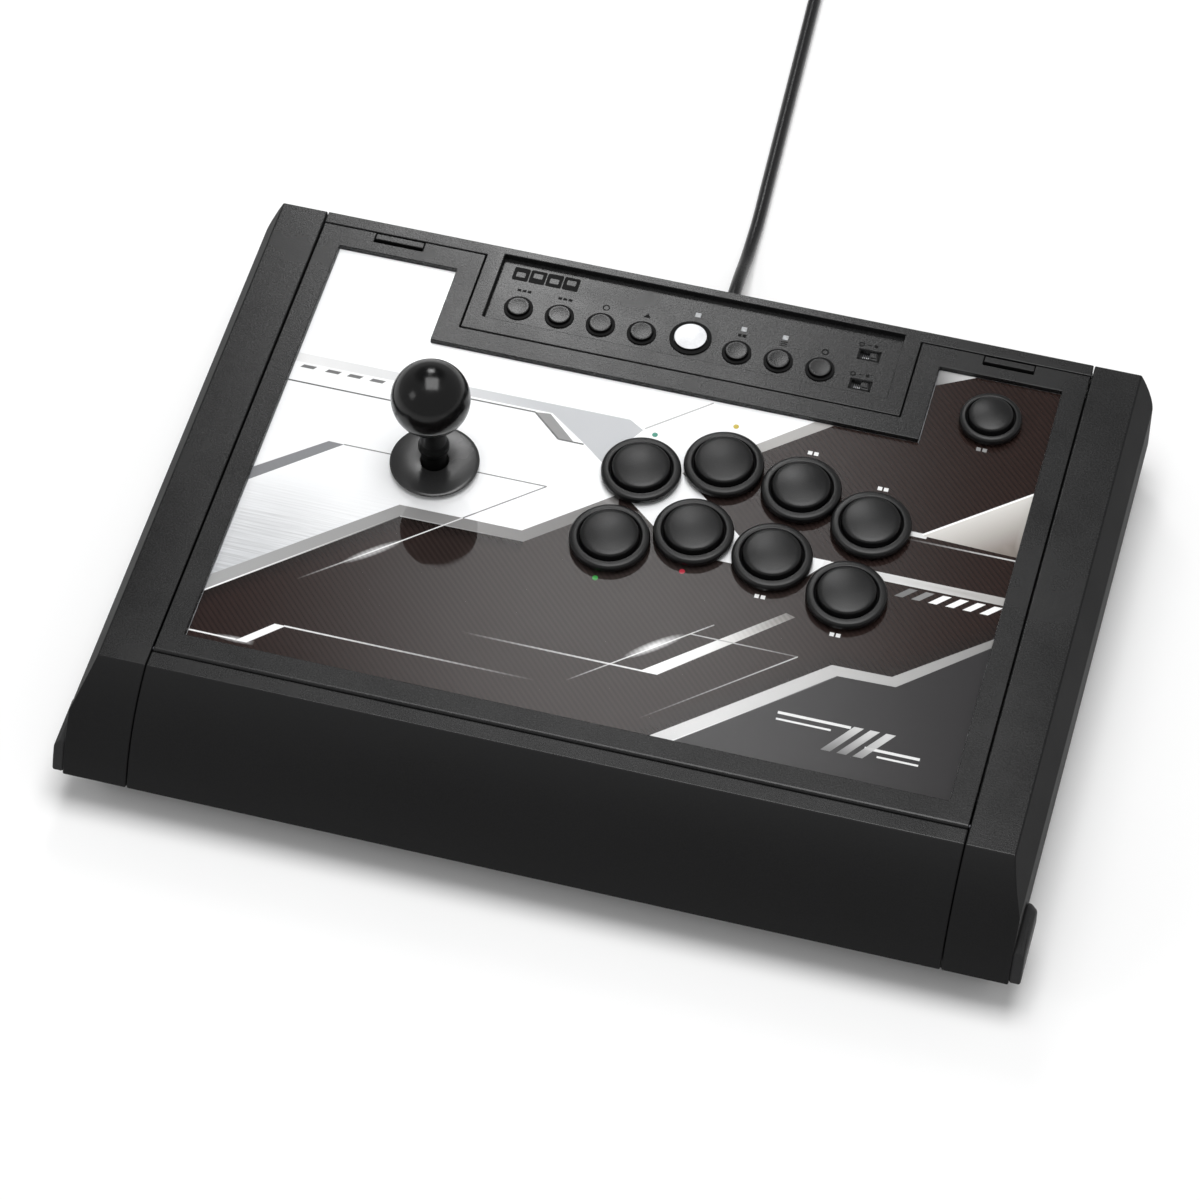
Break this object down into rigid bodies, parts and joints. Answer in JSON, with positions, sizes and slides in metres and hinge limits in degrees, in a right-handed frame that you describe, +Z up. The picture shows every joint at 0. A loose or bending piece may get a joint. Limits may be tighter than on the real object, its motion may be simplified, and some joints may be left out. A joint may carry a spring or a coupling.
{
  "type": "arcade joystick panel",
  "caption": "Low table-top arcade control panel with a ball-top lever, round push buttons, a recessed strip of small controls, a front-hinged lid and a USB cord.",
  "frame": {"origin": "middle of the case's footprint, on the surface that it stands on (the USB cord isn't counted)", "axes": "+Z up out of the button face, +X to the player's right, +Y away from the player towards the cord"},
  "size_m": [0.428, 0.6626, 0.1222],
  "materials": {
    "case_plastic": "fine grained charcoal ABS",
    "front_plastic": "smooth dark satin ABS",
    "tray_plastic": "moulded black ABS",
    "grey_plastic": "satin charcoal",
    "steel": "zinc plated",
    "rubber": "matte black rubber",
    "circuit_board": "solder mask",
    "light_guide": "clear light guide",
    "cord_sheath": "smooth black PVC",
    "strap": "woven hook and loop strap",
    "plug_plastic": "satin black overmould",
    "clear_acrylic": "polished clear sheet",
    "printed_sheet": "printed film",
    "button_plastic": "satin black nylon",
    "switch_plastic": "moulded black",
    "white_nylon": "natural nylon",
    "home_plastic": "gloss white",
    "gloss_black": "polished black"
  },
  "bodies": {
    "base": {"base_tray": "tray_plastic", "end_cap_left": "case_plastic", "end_cap_right": "case_plastic", "front_cover": "front_plastic", "rear_cover": "case_plastic", "control_plate": "case_plastic", "ballast_plate": "steel", "rubber_feet": "rubber", "corner_bumpers": "rubber", "hinge_pins": "steel", "main_board": "circuit_board", "control_board": "circuit_board", "status_leds": "light_guide", "case_screws": "steel", "cable_gland": "cord_sheath", "usb_cord": "cord_sheath", "cord_coil": "cord_sheath", "cord_tie": "strap", "usb_plug": "plug_plastic"},
    "lid": {"lid_frame": "case_plastic", "clear_cover": "clear_acrylic", "art_sheet": "printed_sheet", "panel_plate": "steel", "button_housings": "button_plastic", "option_housing": "button_plastic", "button_switches": "switch_plastic", "stick_mount_plate": "steel", "stick_housing": "switch_plastic", "stick_switches": "switch_plastic", "stick_gate": "white_nylon", "lid_screws": "steel"},
    "button_1": {"button_1": "button_plastic"},
    "button_2": {"button_2": "button_plastic"},
    "button_3": {"button_3": "button_plastic"},
    "button_4": {"button_4": "button_plastic"},
    "button_5": {"button_5": "button_plastic"},
    "button_6": {"button_6": "button_plastic"},
    "button_7": {"button_7": "button_plastic"},
    "button_8": {"button_8": "button_plastic"},
    "option_button": {"option_button": "button_plastic"},
    "small_button_1": {"small_button_1": "grey_plastic"},
    "small_button_2": {"small_button_2": "grey_plastic"},
    "small_button_3": {"small_button_3": "grey_plastic"},
    "small_button_4": {"small_button_4": "grey_plastic"},
    "small_button_5": {"small_button_5": "grey_plastic"},
    "small_button_6": {"small_button_6": "grey_plastic"},
    "small_button_7": {"small_button_7": "grey_plastic"},
    "home_button": {"home_button": "home_plastic"},
    "latch_left": {"latch_left": "case_plastic"},
    "latch_right": {"latch_right": "case_plastic"},
    "slide_knob_1": {"slide_knob_1": "grey_plastic"},
    "slide_knob_2": {"slide_knob_2": "grey_plastic"},
    "pivot_ring": {"pivot_ring": "white_nylon"},
    "lever": {"stick_shaft": "steel", "shaft_sleeve": "gloss_black", "ball_top": "gloss_black", "actuator": "switch_plastic", "stick_spring": "steel"},
    "lower_washer": {"lower_washer": "switch_plastic"},
    "dust_washer": {"dust_washer": "button_plastic"}
  },
  "joints": [
    {"name": "lid_hinge", "type": "hinge", "parent": "base", "child": "lid", "pos_m": [0, -0.1037, 0.058], "axis": [1, 0, 0], "range_deg": [0, 80]},
    {"name": "button_1_press", "type": "slide", "parent": "lid", "child": "button_1", "axis": [0, 0, -1], "range_m": [0, 0.0026], "stiffness_N_per_m": 250, "springref_m": -0.0016},
    {"name": "button_2_press", "type": "slide", "parent": "lid", "child": "button_2", "axis": [0, 0, -1], "range_m": [0, 0.0026], "stiffness_N_per_m": 250, "springref_m": -0.0016},
    {"name": "button_3_press", "type": "slide", "parent": "lid", "child": "button_3", "axis": [0, 0, -1], "range_m": [0, 0.0026], "stiffness_N_per_m": 250, "springref_m": -0.0016},
    {"name": "button_4_press", "type": "slide", "parent": "lid", "child": "button_4", "axis": [0, 0, -1], "range_m": [0, 0.0026], "stiffness_N_per_m": 250, "springref_m": -0.0016},
    {"name": "button_5_press", "type": "slide", "parent": "lid", "child": "button_5", "axis": [0, 0, -1], "range_m": [0, 0.0026], "stiffness_N_per_m": 250, "springref_m": -0.0016},
    {"name": "button_6_press", "type": "slide", "parent": "lid", "child": "button_6", "axis": [0, 0, -1], "range_m": [0, 0.0026], "stiffness_N_per_m": 250, "springref_m": -0.0016},
    {"name": "button_7_press", "type": "slide", "parent": "lid", "child": "button_7", "axis": [0, 0, -1], "range_m": [0, 0.0026], "stiffness_N_per_m": 250, "springref_m": -0.0016},
    {"name": "button_8_press", "type": "slide", "parent": "lid", "child": "button_8", "axis": [0, 0, -1], "range_m": [0, 0.0026], "stiffness_N_per_m": 250, "springref_m": -0.0016},
    {"name": "option_button_press", "type": "slide", "parent": "lid", "child": "option_button", "axis": [0, 0, -1], "range_m": [0, 0.0026], "stiffness_N_per_m": 250, "springref_m": -0.0016},
    {"name": "small_button_1_press", "type": "slide", "parent": "base", "child": "small_button_1", "axis": [0, 0, -1], "range_m": [0, 0.0008], "stiffness_N_per_m": 400, "springref_m": -0.001},
    {"name": "small_button_2_press", "type": "slide", "parent": "base", "child": "small_button_2", "axis": [0, 0, -1], "range_m": [0, 0.0008], "stiffness_N_per_m": 400, "springref_m": -0.001},
    {"name": "small_button_3_press", "type": "slide", "parent": "base", "child": "small_button_3", "axis": [0, 0, -1], "range_m": [0, 0.0008], "stiffness_N_per_m": 400, "springref_m": -0.001},
    {"name": "small_button_4_press", "type": "slide", "parent": "base", "child": "small_button_4", "axis": [0, 0, -1], "range_m": [0, 0.0008], "stiffness_N_per_m": 400, "springref_m": -0.001},
    {"name": "small_button_5_press", "type": "slide", "parent": "base", "child": "small_button_5", "axis": [0, 0, -1], "range_m": [0, 0.0008], "stiffness_N_per_m": 400, "springref_m": -0.001},
    {"name": "small_button_6_press", "type": "slide", "parent": "base", "child": "small_button_6", "axis": [0, 0, -1], "range_m": [0, 0.0008], "stiffness_N_per_m": 400, "springref_m": -0.001},
    {"name": "small_button_7_press", "type": "slide", "parent": "base", "child": "small_button_7", "axis": [0, 0, -1], "range_m": [0, 0.0008], "stiffness_N_per_m": 400, "springref_m": -0.001},
    {"name": "home_button_press", "type": "slide", "parent": "base", "child": "home_button", "axis": [0, 0, -1], "range_m": [0, 0.0008], "stiffness_N_per_m": 400, "springref_m": -0.001},
    {"name": "latch_left_slide", "type": "slide", "parent": "lid", "child": "latch_left", "axis": [0, -1, 0], "range_m": [0, 0.0015], "stiffness_N_per_m": 500, "springref_m": -0.002},
    {"name": "latch_right_slide", "type": "slide", "parent": "lid", "child": "latch_right", "axis": [0, -1, 0], "range_m": [0, 0.0015], "stiffness_N_per_m": 500, "springref_m": -0.002},
    {"name": "slide_knob_1_slide", "type": "slide", "parent": "base", "child": "slide_knob_1", "axis": [-1, 0, 0], "range_m": [0, 0.004]},
    {"name": "slide_knob_2_slide", "type": "slide", "parent": "base", "child": "slide_knob_2", "axis": [-1, 0, 0], "range_m": [0, 0.004]},
    {"name": "lever_fore_aft", "type": "hinge", "parent": "lid", "child": "pivot_ring", "pos_m": [-0.0912, 0.024, 0.046], "axis": [1, 0, 0], "range_deg": [-9.5, 9.5], "stiffness_Nm_per_rad": 1.4},
    {"name": "lever_sideways", "type": "hinge", "parent": "pivot_ring", "child": "lever", "pos_m": [-0.0912, 0.024, 0.046], "axis": [0, 1, 0], "range_deg": [-9.5, 9.5], "stiffness_Nm_per_rad": 1.4},
    {"name": "washer_sideways", "type": "slide", "parent": "lid", "child": "lower_washer", "axis": [1, 0, 0], "range_m": [-0.0026, 0.0026]},
    {"name": "washer_fore_aft", "type": "slide", "parent": "lower_washer", "child": "dust_washer", "axis": [0, 1, 0], "range_m": [-0.0026, 0.0026]}
  ],
  "couplings": [
    {"joint": "washer_sideways", "follows": "lever_sideways", "m_per_rad": 0.0146},
    {"joint": "washer_fore_aft", "follows": "lever_fore_aft", "m_per_rad": -0.0146}
  ]
}
